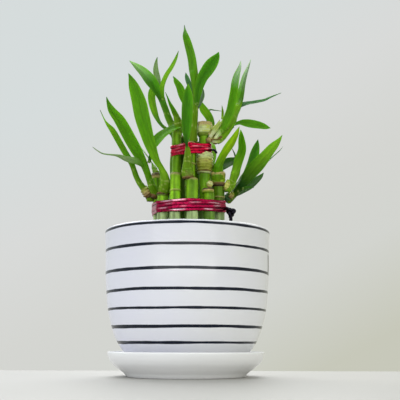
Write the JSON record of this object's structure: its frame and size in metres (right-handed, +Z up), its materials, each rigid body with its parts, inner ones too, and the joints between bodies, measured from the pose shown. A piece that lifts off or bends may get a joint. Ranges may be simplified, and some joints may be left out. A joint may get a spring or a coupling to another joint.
{
  "type": "potted lucky bamboo",
  "caption": "Two-tier bundle of cut lucky bamboo stalks held by red wire ties, with leafy shoots, in a round glazed pot with painted stripes on a saucer.",
  "frame": {"origin": "on the pot's axis, on the flat underside of the saucer, which is the surface the whole thing stands on", "axes": "+Z up along the pot's axis; -Y is the front that the picture shows; +X is the right as seen from the front"},
  "size_m": [0.1644, 0.1402, 0.3096],
  "materials": {
    "white_glaze": "gloss",
    "potting_soil": "matte",
    "stalk": "satin",
    "leaf": "satin",
    "red_tie": "gloss"
  },
  "bodies": {
    "root": {"pot": "white_glaze", "saucer": "white_glaze", "soil": "potting_soil", "lower_tie": "red_tie", "upper_tie": "red_tie", "stalk_outer_01": "stalk", "stalk_outer_02": "stalk", "stalk_outer_03": "stalk", "stalk_outer_04": "stalk", "stalk_outer_05": "stalk", "stalk_outer_06": "stalk", "stalk_outer_07": "stalk", "stalk_outer_08": "stalk", "stalk_outer_09": "stalk", "stalk_outer_10": "stalk", "stalk_outer_11": "stalk", "stalk_inner_01": "stalk", "stalk_inner_02": "stalk", "stalk_inner_03": "stalk", "stalk_inner_04": "stalk", "stalk_inner_05": "stalk", "stalk_inner_06": "stalk", "shoot_a": "leaf", "shoot_b": "leaf", "shoot_c": "leaf", "shoot_d": "leaf", "shoot_e": "leaf", "shoot_f": "leaf", "shoot_g": "leaf", "shoot_h": "leaf", "shoot_i": "leaf", "shoot_j": "leaf", "shoot_k": "leaf", "shoot_l": "leaf", "shoot_m": "leaf", "shoot_n": "leaf", "shoot_o": "leaf", "shoot_p": "leaf", "shoot_q": "leaf", "leaf_b1": "leaf", "leaf_d1": "leaf", "leaf_d2": "leaf", "leaf_g1": "leaf", "leaf_g2": "leaf", "leaf_g3": "leaf", "leaf_g4": "leaf", "leaf_h1": "leaf", "leaf_i1": "leaf", "leaf_i2": "leaf", "leaf_i3": "leaf", "leaf_j1": "leaf", "leaf_k1": "leaf", "leaf_l1": "leaf", "leaf_l2": "leaf", "leaf_l3": "leaf", "leaf_l4": "leaf", "leaf_m1": "leaf", "leaf_n1": "leaf", "leaf_q1": "leaf"}
  },
  "joints": []
}
